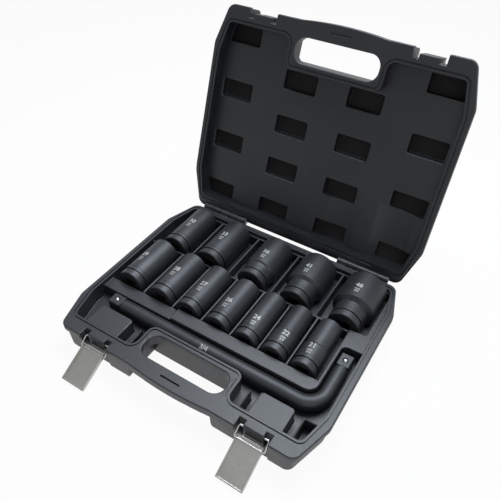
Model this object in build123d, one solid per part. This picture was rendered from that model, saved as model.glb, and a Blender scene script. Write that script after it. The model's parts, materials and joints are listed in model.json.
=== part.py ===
from build123d import *
import math
import os

# Impact socket set in a hinged plastic carrying case, lid open.
# Millimetres. X runs along the case, Y from the grip to the hinge, Z up.
# The origin is the centre of the base's flat underside.
os.makedirs("parts", exist_ok=True)

# Case, overall
base_height = 45.0
lid_height = 36.0
rim_gap = 0.5
lid_open_angle = 109.0
corner_inset = 18.0
corner_run = 59.0
corner_radius = 14.0
side_radius = 25.0
flange_thickness = 8.0
flange_overhang = 5.0
front_step = 1.0
wall_draft = 3.0
foot_radius = 7.0
rim_round = 1.8

# Rim groove and the tray inside it
front_rim = 21.0
side_rim = 7.5
groove_width = 2.2
groove_depth = 1.8
lip_width = 3.0
tray_corner_inset = 11.0
tray_corner_run = 47.0
tray_corner_radius = 8.0
tray_side_radius = 16.0

# Carrying grip, half of it on each half of the case
grip_width = 22.0
grip_thickness = 17.0
grip_bow = 3.8
grip_round = 5.0
hole_half_width = 66.0
hole_length = 37.0
hole_radius = 16.0
hole_wall = 6.0
hole_bend_radius = 12.0
box_setback = 1.0
box_flare = 13.0
slot_length = 31.0
slot_width = 2.2
slot_depth = 2.5
slot_setback = 8.7

# Levels of the tray, measured down from the rim of the base
ledge_drop = 3.0
deck_drop = 6.0
low_ledge_drop = 8.0
channel_drop = 26.0
low_ledge_length = 126.4

# Pads and dividers in front of the handle
pad_gap = 9.0
left_pad_room = 29.4
left_pad_width = 58.0
right_pad_room = 36.4
right_pad_width = 50.0
pad_radius = 5.0
divider_width = 2.5
divider_length = 30.0
left_divider_gap = 7.4
right_divider_gap = 16.9
corner_pocket_width = 21.0

# L-shaped drive handle
drive_square = 19.05
bar_diameter = 22.0
bar_bend_radius = 28.0
handle_long = 343.5
handle_short = 93.7
square_length = 22.0
square_chamfer = 1.6
bar_chamfer = 1.5
bar_front_gap = 1.3
bar_side_gap = 5.5
bar_left_room = 26.8
bar_back_gap = 1.0
bar_end_gap = 8.0
seat_gap = 0.3

# Detent balls in the two drive squares
ball_diameter = 7.0
ball_stand = 1.6
ball_setback = 11.5
ball_gap = 0.3
bore_depth = 15.0
spring_outer = 5.6
spring_inner = 3.8

# Sockets
socket_length = 90.0
socket_axis_drop = 8.2
square_gap = 0.25
square_depth = 24.0
hex_gap = 0.3
hex_depth = 34.0
bolt_clearance = 2.0
end_chamfer = 1.3
hex_lead = 1.2
ring_groove_start = 9.0
ring_groove_width = 3.5
ring_groove_depth = 1.6
mark_line_start = 18.0
mark_line_width = 0.8
mark_line_depth = 0.4
pin_hole = 5.0
bay_end_room = 3.0
row_wall = 4.0
middle_row_room = 20.7
back_room = 3.3
bay_rib = 4.0
side_rib = 5.0
strip_width = 7.5
bay_drop = 16.0

# Each socket: hex size, diameter at the drive end, diameter at the hex end,
# length of the drive end, length of the cone between, row, and how far its axis lies
# from the middle of the case, as a share of half the tray's width.
middle_row = "middle"
back_row = "back"
sockets = [
    (29, 45.0, 45.0, 40.0, 0.0, middle_row, -0.8376),
    (28, 44.0, 44.0, 40.0, 0.0, middle_row, -0.5378),
    (27, 42.0, 42.0, 40.0, 0.0, middle_row, -0.2792),
    (26, 40.5, 40.5, 40.0, 0.0, middle_row, -0.0181),
    (24, 38.0, 38.0, 40.0, 0.0, middle_row, 0.2275),
    (22, 38.0, 36.0, 38.0, 2.0, middle_row, 0.4602),
    (21, 38.0, 35.0, 39.0, 2.0, middle_row, 0.698),
    (30, 45.5, 45.5, 40.0, 0.0, back_row, -0.7963),
    (33, 49.5, 49.5, 40.0, 0.0, back_row, -0.4498),
    (36, 48.0, 53.5, 26.0, 2.5, back_row, -0.0414),
    (41, 48.0, 60.0, 30.0, 4.5, back_row, 0.3464),
    (46, 49.0, 65.0, 30.0, 5.0, back_row, 0.7653),
]

# Inside of the lid, and the band along its hinge side
panel_depth = 18.6
pit_width = 54.6
pit_height = 28.5
pit_depth = 11.0
pit_radius = 3.0
pit_taper = 8.0
side_pit_room = 6.1
middle_pit_room = 51.0
outer_pit_room = 0.85
inner_pit_room = 4.35
back_pit_room = 0.75
pit_wall = 2.5
pits_in_column = 4
scoop_radius = 66.0
scoop_room = 2.8
scoop_setback = 6.0
skirt_reach = 6.5
skirt_setback = 2.0

# Hinges
hinge_end_room = 33.0
hinge_length = 86.0
hinge_setback = 5.5
knuckle_radius = 5.2
knuckle_count = 5
knuckle_gap = 0.6
knuckle_relief = 0.9
web_rise = 14.0
web_reach = 4.5
hinge_pin_diameter = 4.0
pin_gap = 0.15

# Latches
latch_end_room = 77.5
recess_gap = 0.9
recess_depth = 7.0
block_half_width = 14.5
notch_depth = 14.5
notch_drop = 22.0
wire_diameter = 2.6
wire_bend = 2.1
bail_length = 16.0
bail_side_gap = 0.2
bail_tail = 8.0
bail_pivot_setback = 10.0
bail_pivot_drop = 8.0
bail_rest_drop = 41.0
lever_inset = 4.0
lever_width = 38.0
lever_length = 51.0
lever_sheet = 1.2
lever_back = 2.7
lever_side = 5.4
lever_rest_slope = 27.5
lever_top = 4.5
hook_rise = 5.0
hook_reach = 6.0
hook_half_width = 13.0
sheet_bend = 1.2
keeper_gap = 0.5
hook_room = 3.5

# Places that follow from the sizes above
rim_z = base_height
lid_rim_z = base_height + rim_gap
bar_radius = bar_diameter / 2
tray_offset = groove_width / 2 + lip_width
tray_half_width = (bar_left_room + handle_long + bar_radius + bar_side_gap) / 2
case_width = 2 * (tray_half_width + tray_offset + side_rim)
hand_room = grip_width + hole_length + hole_wall + tray_offset
bar_room = bar_front_gap + bar_diameter + bar_back_gap
bay_length = socket_length + 2 * bay_end_room
row_room = middle_row_room + 2 * bay_length + row_wall + back_room
case_depth = hand_room + bar_room + row_room + tray_offset + side_rim
front_y = -case_depth / 2
back_y = case_depth / 2
tray_front = front_y + front_rim + tray_offset
tray_back = back_y - side_rim - tray_offset
hole_front = front_y + grip_width
hole_back = hole_front + hole_length
dodge_half_width = hole_half_width + hole_wall + tray_offset
dodge_y = front_y + hand_room
ledge_z = rim_z - ledge_drop
deck_z = rim_z - deck_drop
channel_z = rim_z - channel_drop
bar_y = dodge_y + bar_front_gap + bar_radius
bar_x = tray_half_width - bar_side_gap - bar_radius
bar_z = channel_z + seat_gap + bar_radius
ledge_front = dodge_y + bar_room
low_ledge_end = low_ledge_length - tray_half_width
channel_left = bar_x - bar_radius - bar_back_gap
channel_end = bar_y + handle_short + bar_end_gap
pad_back = bar_y - bar_radius - pad_gap
left_pad_centre = left_pad_room + left_pad_width / 2 - tray_half_width
right_pad_centre = tray_half_width - right_pad_room - right_pad_width / 2
left_divider = -dodge_half_width - left_divider_gap - divider_width
right_divider = dodge_half_width + right_divider_gap
socket_z = rim_z - socket_axis_drop
row_y = {}
row_y[middle_row] = ledge_front + middle_row_room + bay_end_room
row_y[back_row] = row_y[middle_row] + bay_length + row_wall
hinge_outer = case_width / 2 - hinge_end_room
hinge_inner = hinge_outer - hinge_length
latch_centre = case_width / 2 - latch_end_room
hinge_y = back_y + hinge_setback
hinge_z = rim_z + rim_gap / 2
panel_z = lid_rim_z + panel_depth
bail_half_width = lever_width / 2 + bail_side_gap + wire_bend
recess_half_width = bail_half_width + wire_diameter / 2 + recess_gap
lever_pivot_y = front_y + lever_inset
bail_pivot_y = front_y + bail_pivot_setback
bail_pivot_z = rim_z - bail_pivot_drop
bail_shut_angle = math.degrees(math.acos((bail_pivot_y - lever_pivot_y) / bail_length))
lever_pivot_z = bail_pivot_z + bail_length * math.sin(math.radians(bail_shut_angle))
bail_turn = bail_shut_angle + bail_rest_drop
lever_turn = bail_turn + 90 - lever_rest_slope
keeper_z = lever_pivot_z + hook_rise - keeper_gap
hook_pocket_z = lever_pivot_z + hook_rise + lever_sheet + hook_room


def outline(points, radii):
    """Face inside a closed outline whose corners are rounded."""
    return make_face(FilletPolyline(*points, radius=radii, close=True))


def rectangle(x0, x1, y0, y1):
    """Flat rectangle between two X values and two Y values."""
    return Pos((x0 + x1) / 2, (y0 + y1) / 2) * Rectangle(x1 - x0, y1 - y0)


def prism(sketch, z0, z1):
    """Sketch on XY raised from one height to another."""
    return extrude(Pos(0, 0, z0) * sketch, z1 - z0)


def block(x0, x1, y0, y1, z0, z1):
    """Box between two corners."""
    return prism(rectangle(x0, x1, y0, y1), z0, z1)


def along_x(section, x0, x1):
    """Section drawn on YZ, spread along X."""
    return extrude(Plane.YZ.offset(x0) * section, x1 - x0, dir=(1, 0, 0))


def along_y(section, y0, y1):
    """Section drawn on XZ, spread along Y."""
    return extrude(Plane.XZ.offset(-y0) * section, y1 - y0, dir=(0, 1, 0))


def rod(x0, x1, y, z, radius):
    """Cylinder along X."""
    return along_x(Pos(y, z) * Circle(radius), x0, x1)


def round_along_y(y0, y1, x, z, radius):
    """Cylinder along Y."""
    return along_y(Pos(x, z) * Circle(radius), y0, y1)


def case_outline(half_width, y0, y1):
    """Case plan: a rectangle whose four corners are cut by long shallow chamfers."""
    points = [
        (-half_width + corner_inset, y0),
        (half_width - corner_inset, y0),
        (half_width, y0 + corner_run),
        (half_width, y1 - corner_run),
        (half_width - corner_inset, y1),
        (-half_width + corner_inset, y1),
        (-half_width, y1 - corner_run),
        (-half_width, y0 + corner_run),
    ]
    end_radii = [corner_radius, corner_radius]
    side_radii = [side_radius, side_radius]
    return outline(points, end_radii + side_radii + end_radii + side_radii)


def tray_outline():
    """Inside of the rim lip, which steps back around the hand hole."""
    x, y0, y1 = tray_half_width, tray_front, tray_back
    points = [
        (-x + tray_corner_inset, y0),
        (-dodge_half_width, y0),
        (-dodge_half_width, dodge_y),
        (dodge_half_width, dodge_y),
        (dodge_half_width, y0),
        (x - tray_corner_inset, y0),
        (x, y0 + tray_corner_run),
        (x, y1 - tray_corner_run),
        (x - tray_corner_inset, y1),
        (-x + tray_corner_inset, y1),
        (-x, y1 - tray_corner_run),
        (-x, y0 + tray_corner_run),
    ]
    ends = [tray_corner_radius]
    sides = [tray_side_radius, tray_side_radius]
    dodge = [hole_bend_radius] * 4
    return outline(points, ends + dodge + ends + sides + ends + ends + sides)


tray = tray_outline()


def hand_hole():
    """Opening that the fingers go through."""
    hole = RectangleRounded(2 * hole_half_width, hole_length, hole_radius)
    return Pos(0, (hole_front + hole_back) / 2) * hole


def under_grip(height):
    """Space below the grip; the latch boxes beside it have rounded lower edges."""
    side = hole_half_width + box_setback
    low = -height - 1
    turn = -height + box_flare
    half = Line((0, -grip_thickness), (side, -grip_thickness))
    half += Line((side, -grip_thickness), (side, turn))
    half += RadiusArc((side, turn), (side + box_flare, -height), -box_flare)
    half += Line((side + box_flare, -height), (side + box_flare, low))
    half += Line((side + box_flare, low), (0, low))
    half += Line((0, low), (0, -grip_thickness))
    face = make_face(half)
    face += mirror(face, Plane.YZ)
    start = front_y - grip_bow - 1
    return along_y(face, start, hole_back)


def grip_bar(bow_face):
    """Half of the grip, rounded below, with its ends inside the latch boxes."""
    end = hole_half_width + hole_wall + grip_width / 2
    plan = rectangle(-end, end, front_y, hole_front) + bow_face
    bar = prism(plan, -grip_thickness, -rim_round)
    return fillet(bar.faces().sort_by(Axis.Z)[0].edges(), grip_round)


def half_case(height):
    """One half of the case, rim up at height zero, before its own cuts."""
    half_width = case_width / 2
    bow_ends = (-hole_half_width, front_y), (hole_half_width, front_y)
    bow = ThreePointArc(bow_ends[0], (0, front_y - grip_bow), bow_ends[1])
    bow_face = make_face(bow + Line(*bow_ends))
    flange = prism(case_outline(half_width, front_y, back_y) + bow_face, -flange_thickness, 0)
    flange = fillet(flange.faces().sort_by(Axis.Z)[-1].edges(), rim_round)
    body_plan = case_outline(
        half_width - flange_overhang, front_y + front_step, back_y - flange_overhang
    )
    body = extrude(Pos(0, 0, -rim_round) * body_plan, rim_round - height, taper=wall_draft)
    body = fillet(body.faces().sort_by(Axis.Z)[0].edges(), foot_radius)
    grip = grip_bar(bow_face)
    shell = body + flange + grip
    shell -= under_grip(height) - grip
    shell -= prism(hand_hole(), -height, 1)
    ring = offset(tray, lip_width + groove_width) - offset(tray, lip_width)
    shell -= prism(ring, -groove_depth, 1)
    slot = Pos(0, front_y + slot_setback) * SlotOverall(slot_length, slot_width)
    return shell - prism(slot, -slot_depth, 1)


def knuckle_spans(side, turn):
    """X spans of every second hinge knuckle: turn 0 on the base, 1 on the lid."""
    pitch = (hinge_outer - hinge_inner) / knuckle_count
    spans = []
    for index in range(turn, knuckle_count, 2):
        near = hinge_inner + index * pitch + knuckle_gap / 2
        far = near + pitch - knuckle_gap
        spans.append((near, far) if side > 0 else (-far, -near))
    return spans


def knuckle(span, web_z, rim):
    """Hinge barrel with the web that joins it to the rear wall."""
    x0, x1 = span
    wall_y = back_y - flange_overhang - web_reach
    web = Polygon(
        (wall_y, rim), (hinge_y, rim), (hinge_y, rim + (web_z - rim) / 3), (wall_y, web_z),
        align=None,
    )
    barrel = rod(x0, x1, hinge_y, hinge_z, knuckle_radius)
    return barrel + along_x(web, x0, x1)


def add_knuckles(shell, turn, web_z, rim):
    """Knuckles of one half, with room for the other half's barrels and the pin."""
    for side in (-1, 1):
        for x0, x1 in knuckle_spans(side, 1 - turn):
            room = rod(
                x0 - knuckle_gap, x1 + knuckle_gap, hinge_y, hinge_z,
                knuckle_radius + knuckle_relief,
            )
            shell -= room
        for span in knuckle_spans(side, turn):
            shell += knuckle(span, web_z, rim)
        pin_room = hinge_pin_diameter / 2 + pin_gap
        reach = sorted((side * hinge_inner, side * hinge_outer))
        shell -= rod(*reach, hinge_y, hinge_z, pin_room)
    return shell


def axis_x(socket):
    """X of a socket's axis."""
    return socket[6] * tray_half_width


def bay_edges(row):
    """Left and right edge of each socket's bay in one row."""
    members = [socket for socket in sockets if socket[5] == row]
    left_end = -tray_half_width
    right_end = channel_left - side_rib
    if row == back_row:
        right_end = tray_half_width - strip_width
    edges = []
    for index, socket in enumerate(members):
        radius = max(socket[1], socket[2]) / 2
        left, right = left_end, right_end
        if index > 0:
            before = members[index - 1]
            before_edge = axis_x(before) + max(before[1], before[2]) / 2
            left = (before_edge + axis_x(socket) - radius) / 2 + bay_rib / 2
        if index < len(members) - 1:
            after = members[index + 1]
            after_edge = axis_x(after) - max(after[1], after[2]) / 2
            right = (axis_x(socket) + radius + after_edge) / 2 - bay_rib / 2
        edges.append((socket, left, right))
    return edges


def socket_bays():
    """Bays for the sockets, each with a trough that carries the socket."""
    cuts = []
    top = rim_z + 1
    for row in (middle_row, back_row):
        front = row_y[row] - bay_end_room
        back = row_y[row] + socket_length + bay_end_room
        for socket, left, right in bay_edges(row):
            plan = rectangle(left, right, front, back) & tray
            cuts.append(prism(plan, socket_z - bay_drop, top))
            drive_radius = socket[1] / 2 + seat_gap
            hex_radius = socket[2] / 2 + seat_gap
            step = row_y[row] + socket[3]
            if hex_radius < drive_radius:
                step += socket[4]
            cuts.append(round_along_y(front, step, axis_x(socket), socket_z, drive_radius))
            cuts.append(round_along_y(step, back, axis_x(socket), socket_z, hex_radius))
    return cuts


def channel_plan():
    """Channel for the L-handle, around the pads and dividers."""
    x, out = tray_half_width, case_width
    corner = bar_bend_radius - bar_radius - bar_back_gap
    points = [
        (-out, -out), (out, -out), (out, channel_end),
        (channel_left, channel_end), (channel_left, ledge_front), (-out, ledge_front),
    ]
    plan = outline(points, [0, 0, 0, tray_corner_radius, corner, 0]) & tray
    for centre, width in ((left_pad_centre, left_pad_width), (right_pad_centre, right_pad_width)):
        length = pad_back - tray_front
        pad = RectangleRounded(width, length + 2 * pad_radius, pad_radius)
        plan -= Pos(centre, tray_front + length / 2 - pad_radius) * pad
    divider_end = tray_front + divider_length
    for place in (left_divider, right_divider, x - corner_pocket_width - divider_width):
        plan -= rectangle(place, place + divider_width, tray_front, divider_end)
    plan -= rectangle(
        x - corner_pocket_width - divider_width, x, divider_end, divider_end + divider_width
    )
    return plan


def latch_spans(side):
    """X spans of a latch: the whole recess, and the two notches beside the block."""
    centre = side * latch_centre
    whole = (centre - recess_half_width, centre + recess_half_width)
    left = (centre - recess_half_width, centre - block_half_width)
    right = (centre + block_half_width, centre + recess_half_width)
    return whole, (left, right)


def base_shell():
    """Lower half: tray with bays, channel, latch recesses and hinge knuckles."""
    shell = Pos(0, 0, rim_z) * half_case(base_height)
    top = rim_z + 1
    shell -= prism(tray, ledge_z, top)
    middle_front = row_y[middle_row] - bay_end_room
    back_front = row_y[back_row] - bay_end_room
    low_end = tray_back + 1
    rows = rectangle(-case_width, channel_left - side_rib, middle_front, back_front)
    rows += rectangle(-case_width, tray_half_width - strip_width, back_front, low_end)
    shell -= prism(rows & tray, deck_z, top)
    low_ledge = rectangle(-case_width, low_ledge_end, ledge_front, middle_front) & tray
    shell -= prism(low_ledge, rim_z - low_ledge_drop, top)
    shell -= prism(channel_plan(), channel_z, top)
    shell -= socket_bays()
    for side in (-1, 1):
        whole, notches = latch_spans(side)
        shell -= block(*whole, front_y - 1, front_y + recess_depth, -1, top)
        for span in notches:
            shell -= block(*span, front_y, front_y + notch_depth, rim_z - notch_drop, top)
        shell -= rod(*whole, bail_pivot_y, bail_pivot_z, wire_diameter / 2 + pin_gap)
    return add_knuckles(shell, 0, rim_z - web_rise, rim_z)


def lid_pits():
    """Shallow tapered recesses in the lid's inner panel, in four columns, kept off its side walls."""
    room = prism(offset(tray, -pit_wall), panel_z, panel_z + pit_depth)
    half = pit_height / 2
    last = tray_back - back_pit_room - half
    outer_x = tray_half_width - side_pit_room - pit_width / 2
    inner_x = (middle_pit_room + pit_width) / 2
    columns = [
        (outer_x, tray_front + outer_pit_room + half),
        (inner_x, dodge_y + inner_pit_room + half),
    ]
    plan = RectangleRounded(pit_width, pit_height, pit_radius)
    pit = extrude(plan, pit_depth, taper=pit_taper)
    pits = []
    for x, first in columns:
        pitch = (last - first) / (pits_in_column - 1)
        for index in range(pits_in_column):
            for side in (-1, 1):
                pits.append(Pos(side * x, first + index * pitch, panel_z) * pit & room)
    return pits


def lid_scoops():
    """Hollows over the sockets that stand higher than the lid's inner panel."""
    cuts = []
    for socket in sockets:
        top = socket_z + max(socket[1], socket[2]) / 2 + scoop_room
        if top > panel_z + scoop_room:
            start = row_y[socket[5]] + scoop_setback
            centre = top - scoop_radius
            cuts.append(round_along_y(start, tray_back, axis_x(socket), centre, scoop_radius))
    room = prism(tray, lid_rim_z, lid_rim_z + lid_height)
    return [cut & room for cut in cuts]


def lid_skirt():
    """Band that carries the lid's flange on towards the hinge, set back from the rim."""
    plan = case_outline(case_width / 2, front_y, back_y + skirt_reach)
    rear = rectangle(-case_width, case_width, back_y - corner_run, back_y + 2 * skirt_reach)
    return prism(plan & rear, lid_rim_z + skirt_setback, lid_rim_z + flange_thickness)


def lid_shell():
    """Upper half, modelled shut and then swung open on the hinge."""
    shell = Pos(0, 0, lid_rim_z) * mirror(half_case(lid_height), Plane.XY) + lid_skirt()
    low = lid_rim_z - 1
    top = lid_rim_z + lid_height + 1
    shell -= prism(tray, low, panel_z)
    shell -= lid_pits()
    shell -= lid_scoops()
    for side in (-1, 1):
        whole, notches = latch_spans(side)
        shell -= block(*whole, front_y - 1, front_y + recess_depth, low, top)
        for span in notches:
            shell -= block(*span, front_y, front_y + notch_depth, low, top)
        shell -= block(*whole, front_y - 1, front_y + notch_depth, keeper_z, hook_pocket_z)
    shell = add_knuckles(shell, 1, lid_rim_z + web_rise, lid_rim_z)
    return swing_lid(shell)


def swing_lid(shape):
    """Turn a shape from the shut pose to the open one."""
    return shape.rotate(Axis((0, hinge_y, hinge_z), (1, 0, 0)), -lid_open_angle)


def hinge_pin(side):
    """Steel pin through the knuckles of one hinge."""
    near, far = sorted((side * hinge_inner, side * hinge_outer))
    return rod(near, far, hinge_y, hinge_z, hinge_pin_diameter / 2)


def latch_bail(side):
    """Wire loop that ties the lever to the base; its tails turn in the block."""
    centre = side * latch_centre
    out = bail_half_width
    tail = block_half_width - bail_tail
    low = (bail_pivot_y, bail_pivot_z)
    high = (lever_pivot_y, lever_pivot_z)
    points = [
        (centre - tail, *low), (centre - out, *low), (centre - out, *high),
        (centre + out, *high), (centre + out, *low), (centre + tail, *low),
    ]
    path = FilletPolyline(*points, radius=wire_bend)
    return sweep(Plane(path ^ 0) * Circle(wire_diameter / 2), path=path)


def latch_lever(side):
    """Pressed sheet lever: flanges and a finger lip turned outward, a hook turned inward."""
    centre = side * latch_centre
    half = lever_width / 2
    mid = lever_sheet / 2 - lever_back
    outer = lever_side - lever_back
    hook_s = -hook_rise - lever_sheet / 2
    end_s = lever_length - lever_sheet / 2
    hook_path = FilletPolyline(
        (-hook_reach, hook_s), (mid, hook_s), (mid, 0), radius=sheet_bend
    )
    plate_path = FilletPolyline((mid, -lever_top), (mid, end_s), (outer, end_s), radius=sheet_bend)
    hook = across(trace(hook_path, lever_sheet), centre, hook_half_width)
    plate = across(trace(plate_path, lever_sheet), centre, half)
    flange = Pos(outer - lever_side / 2, (lever_length - sheet_bend - lever_top) / 2) * Rectangle(
        lever_side, lever_length - sheet_bend + lever_top
    )
    flange -= Circle(wire_diameter / 2 + pin_gap)
    lever = plate + hook
    for edge in (centre - half, centre + half - lever_sheet):
        lever += across(flange, edge + lever_sheet / 2, lever_sheet / 2)
    return lever


def across(section, centre, half):
    """Lever section, given as outward and downward from the pivot, spread along X."""
    start = Plane((centre - half, lever_pivot_y, lever_pivot_z), (0, -1, 0), (1, 0, 0))
    return extrude(start * section, 2 * half)


def bail_axis():
    """Axis that the wire loop turns on in the base."""
    return Axis((0, bail_pivot_y, bail_pivot_z), (1, 0, 0))


def lever_axis():
    """Axis that the lever turns on in the wire loop, latch shut."""
    return Axis((0, lever_pivot_y, lever_pivot_z), (1, 0, 0))


def ball_places():
    """Centre of each detent ball, in the top face near each tip of the handle."""
    z = bar_z + drive_square / 2 + ball_stand - ball_diameter / 2
    long_end = (bar_x - handle_long + ball_setback, bar_y, z)
    short_end = (bar_x, bar_y + handle_short - ball_setback, z)
    return {"long": long_end, "short": short_end}


def square_tip():
    """Drive square along X from its shoulder, with chamfered edges."""
    tip = extrude(Plane.YZ * Rectangle(drive_square, drive_square), square_length)
    tip = chamfer(tip.edges().filter_by(Axis.X), square_chamfer)
    return chamfer(tip.faces().sort_by(Axis.X)[-1].edges(), square_chamfer)


def bar_shoulder():
    """Last few millimetres of the round bar, turned down towards the square."""
    return Rot(0, 90, 0) * Cone(
        bar_radius, bar_radius - bar_chamfer, bar_chamfer,
        align=(Align.CENTER, Align.CENTER, Align.MIN),
    )


def l_handle():
    """Bent round bar with a drive square at each end."""
    long_stop = bar_x - handle_long + square_length
    short_stop = bar_y + handle_short - square_length
    path = FilletPolyline(
        (long_stop + bar_chamfer, bar_y, bar_z), (bar_x, bar_y, bar_z),
        (bar_x, short_stop - bar_chamfer, bar_z), radius=bar_bend_radius,
    )
    handle = sweep(Plane(path ^ 0) * Circle(bar_radius), path=path)
    long_place = Pos(long_stop, bar_y, bar_z) * Rot(0, 0, 180)
    short_place = Pos(bar_x, short_stop, bar_z) * Rot(0, 0, 90)
    for place in (long_place, short_place):
        handle += place * square_tip()
        handle += place * Pos(-bar_chamfer, 0, 0) * bar_shoulder()
    top = bar_z + drive_square / 2
    for x, y, z in ball_places().values():
        hole = Pos(x, y) * Circle(ball_diameter / 2 + ball_gap)
        handle -= prism(hole, top - bore_depth, top + 1)
    return handle


def detent_spring(place):
    """Spring under a detent ball, as a plain sleeve inside the bore."""
    x, y, z = place
    ring = Circle(spring_outer / 2) - Circle(spring_inner / 2)
    bottom = bar_z + drive_square / 2 - bore_depth
    return prism(Pos(x, y) * ring, bottom, z - ball_diameter / 2)


def socket_body(spec):
    """Deep impact socket lying along Y, drive square to the front."""
    size, drive_diameter, hex_diameter, drive_length, cone, row = spec[:6]
    drive_radius, hex_radius = drive_diameter / 2, hex_diameter / 2
    cone_end = drive_length + cone
    ring_end = ring_groove_start + ring_groove_width
    mark_end = mark_line_start + mark_line_width
    profile = [
        (0, 0), (drive_radius - end_chamfer, 0), (drive_radius, end_chamfer),
        (drive_radius, ring_groove_start),
        (drive_radius - ring_groove_depth, ring_groove_start),
        (drive_radius - ring_groove_depth, ring_end), (drive_radius, ring_end),
        (drive_radius, mark_line_start), (drive_radius - mark_line_depth, mark_line_start),
        (drive_radius - mark_line_depth, mark_end), (drive_radius, mark_end),
    ]
    if hex_diameter != drive_diameter:
        profile += [(drive_radius, drive_length), (hex_radius, cone_end)]
    profile += [
        (hex_radius, socket_length - end_chamfer), (hex_radius - end_chamfer, socket_length),
        (0, socket_length),
    ]
    body = revolve(make_face(Polyline(*profile, close=True)), Axis.Y)
    hex_corner = (size + hex_gap) / math.sqrt(3)
    hex_start = socket_length - hex_depth
    hole = RegularPolygon(hex_corner, 6)
    body -= along_y(hole, hex_start, socket_length)
    lead = Circle(hex_corner + hex_lead)
    body -= extrude(Plane.XZ.offset(-socket_length) * lead, hex_lead, taper=45)
    body -= along_y(Circle((size - bolt_clearance) / 2), square_depth, hex_start)
    body -= along_y(Rectangle(drive_square + square_gap, drive_square + square_gap), 0, square_depth)
    cross = ring_groove_start + ring_groove_width / 2
    body -= Pos(0, cross, 0) * Rot(0, 90, 0) * Cylinder(pin_hole / 2, 2 * drive_radius)
    return Pos(axis_x(spec), row_y[row], socket_z) * body


def save(name, shape):
    """Write one piece to its own file."""
    export_step(shape, os.path.join("parts", name + ".step"))
    print(name, round(shape.volume))


save("base_shell", base_shell())
save("lid_shell", lid_shell())
sides = {"left": -1, "right": 1}
for word, side in sides.items():
    save("hinge_pin_" + word, hinge_pin(side))
    save("latch_bail_" + word, latch_bail(side).rotate(bail_axis(), bail_turn))
    lever = latch_lever(side).rotate(lever_axis(), -lever_turn)
    save("latch_lever_" + word, lever.rotate(bail_axis(), bail_turn))
save("l_handle", l_handle())
for word, place in ball_places().items():
    save("detent_ball_" + word, Pos(*place) * Sphere(ball_diameter / 2))
    save("detent_spring_" + word, detent_spring(place))
for spec in sockets:
    save("socket_" + str(spec[0]), socket_body(spec))

print("lid hinge at y", round(hinge_y, 3), "z", round(hinge_z, 3))
print("bail pivot at y", round(bail_pivot_y, 3), "z", round(bail_pivot_z, 3))
print("bail turn", round(bail_turn, 3), "lever turn", round(lever_turn, 3))
turn = math.radians(bail_rest_drop)
rest_y = bail_pivot_y - bail_length * math.cos(turn)
rest_z = bail_pivot_z - bail_length * math.sin(turn)
print("lever pivot at rest y", round(rest_y, 3), "z", round(rest_z, 3))
print("rows at y", row_y, "socket axis z", socket_z)
print("handle axis y", bar_y, "x", bar_x, "z", bar_z)
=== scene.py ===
# %% [markdown]
# # Impact socket set in its carrying case
# A moulded plastic case lies open. Twelve deep steel sockets and an L-shaped drive handle rest in its tray,
# two sheet-metal latches hang from the front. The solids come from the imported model; this lesson gives them
# their edges, finishes and marks, and lights them the way a catalogue table would.

import json
import math

import bmesh
import bpy
import numpy as np
from mathutils import Matrix, Vector
from mathutils.geometry import delaunay_2d_cdt


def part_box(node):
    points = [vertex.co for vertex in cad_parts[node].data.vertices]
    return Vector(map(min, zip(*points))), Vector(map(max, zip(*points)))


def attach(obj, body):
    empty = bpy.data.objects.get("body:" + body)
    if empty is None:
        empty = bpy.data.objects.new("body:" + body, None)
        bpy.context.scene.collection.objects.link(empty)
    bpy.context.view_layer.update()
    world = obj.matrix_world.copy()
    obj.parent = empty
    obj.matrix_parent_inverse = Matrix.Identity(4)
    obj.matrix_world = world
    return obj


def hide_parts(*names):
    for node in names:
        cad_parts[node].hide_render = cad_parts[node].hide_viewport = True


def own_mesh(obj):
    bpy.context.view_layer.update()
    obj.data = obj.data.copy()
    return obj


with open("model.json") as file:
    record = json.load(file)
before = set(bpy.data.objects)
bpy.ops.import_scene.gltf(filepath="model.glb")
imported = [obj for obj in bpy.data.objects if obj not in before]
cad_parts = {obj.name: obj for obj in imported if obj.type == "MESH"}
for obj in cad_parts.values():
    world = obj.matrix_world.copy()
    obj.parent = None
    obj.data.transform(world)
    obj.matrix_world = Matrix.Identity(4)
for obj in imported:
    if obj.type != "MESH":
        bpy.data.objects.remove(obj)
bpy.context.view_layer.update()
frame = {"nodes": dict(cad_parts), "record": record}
nodes = frame["nodes"]
MM = 0.001

# %% [markdown]
# ## Camera
# The photograph was taken from the front right, a little over 40 degrees above the table, from close by, so
# the near corner looks much larger than the far one. The eye point and the three view directions were
# fitted to the case's straight edges. A camera looks along its own minus Z, so its matrix holds right, up
# and backwards.

# %% Camera at the photograph's place
EYE = Vector((289.08, -437.71, 640.72)) * MM
VIEW_RIGHT = Vector((0.84790, 0.52995, 0.01467))
VIEW_UP = Vector((-0.36964, 0.57113, 0.73293))
LENS_MM = 38.86
SENSOR_MM = 36.0

camera_data = bpy.data.cameras.new("photo_camera")
camera_data.lens = LENS_MM
camera_data.sensor_width = SENSOR_MM
camera_data.sensor_fit = "HORIZONTAL"
camera_data.clip_start = 0.01
camera = bpy.data.objects.new("photo_camera", camera_data)
bpy.context.scene.collection.objects.link(camera)
right = VIEW_RIGHT.normalized()
back = right.cross(VIEW_UP).normalized()
up = back.cross(right)
turn = Matrix((right, up, back)).transposed().to_4x4()
camera.matrix_world = Matrix.Translation(EYE) @ turn
bpy.context.scene.camera = camera
bpy.context.scene.view_settings.view_transform = "Standard"
print("camera looks along", tuple(round(v, 3) for v in -back))

# %% [markdown]
# ## Table, background and light
# The photograph has a white background. A floor that is only lit would go grey at its far end, so what the
# camera sees of it is partly its own glow and partly the light that falls on it, which keeps a soft shadow
# under the case.

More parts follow.
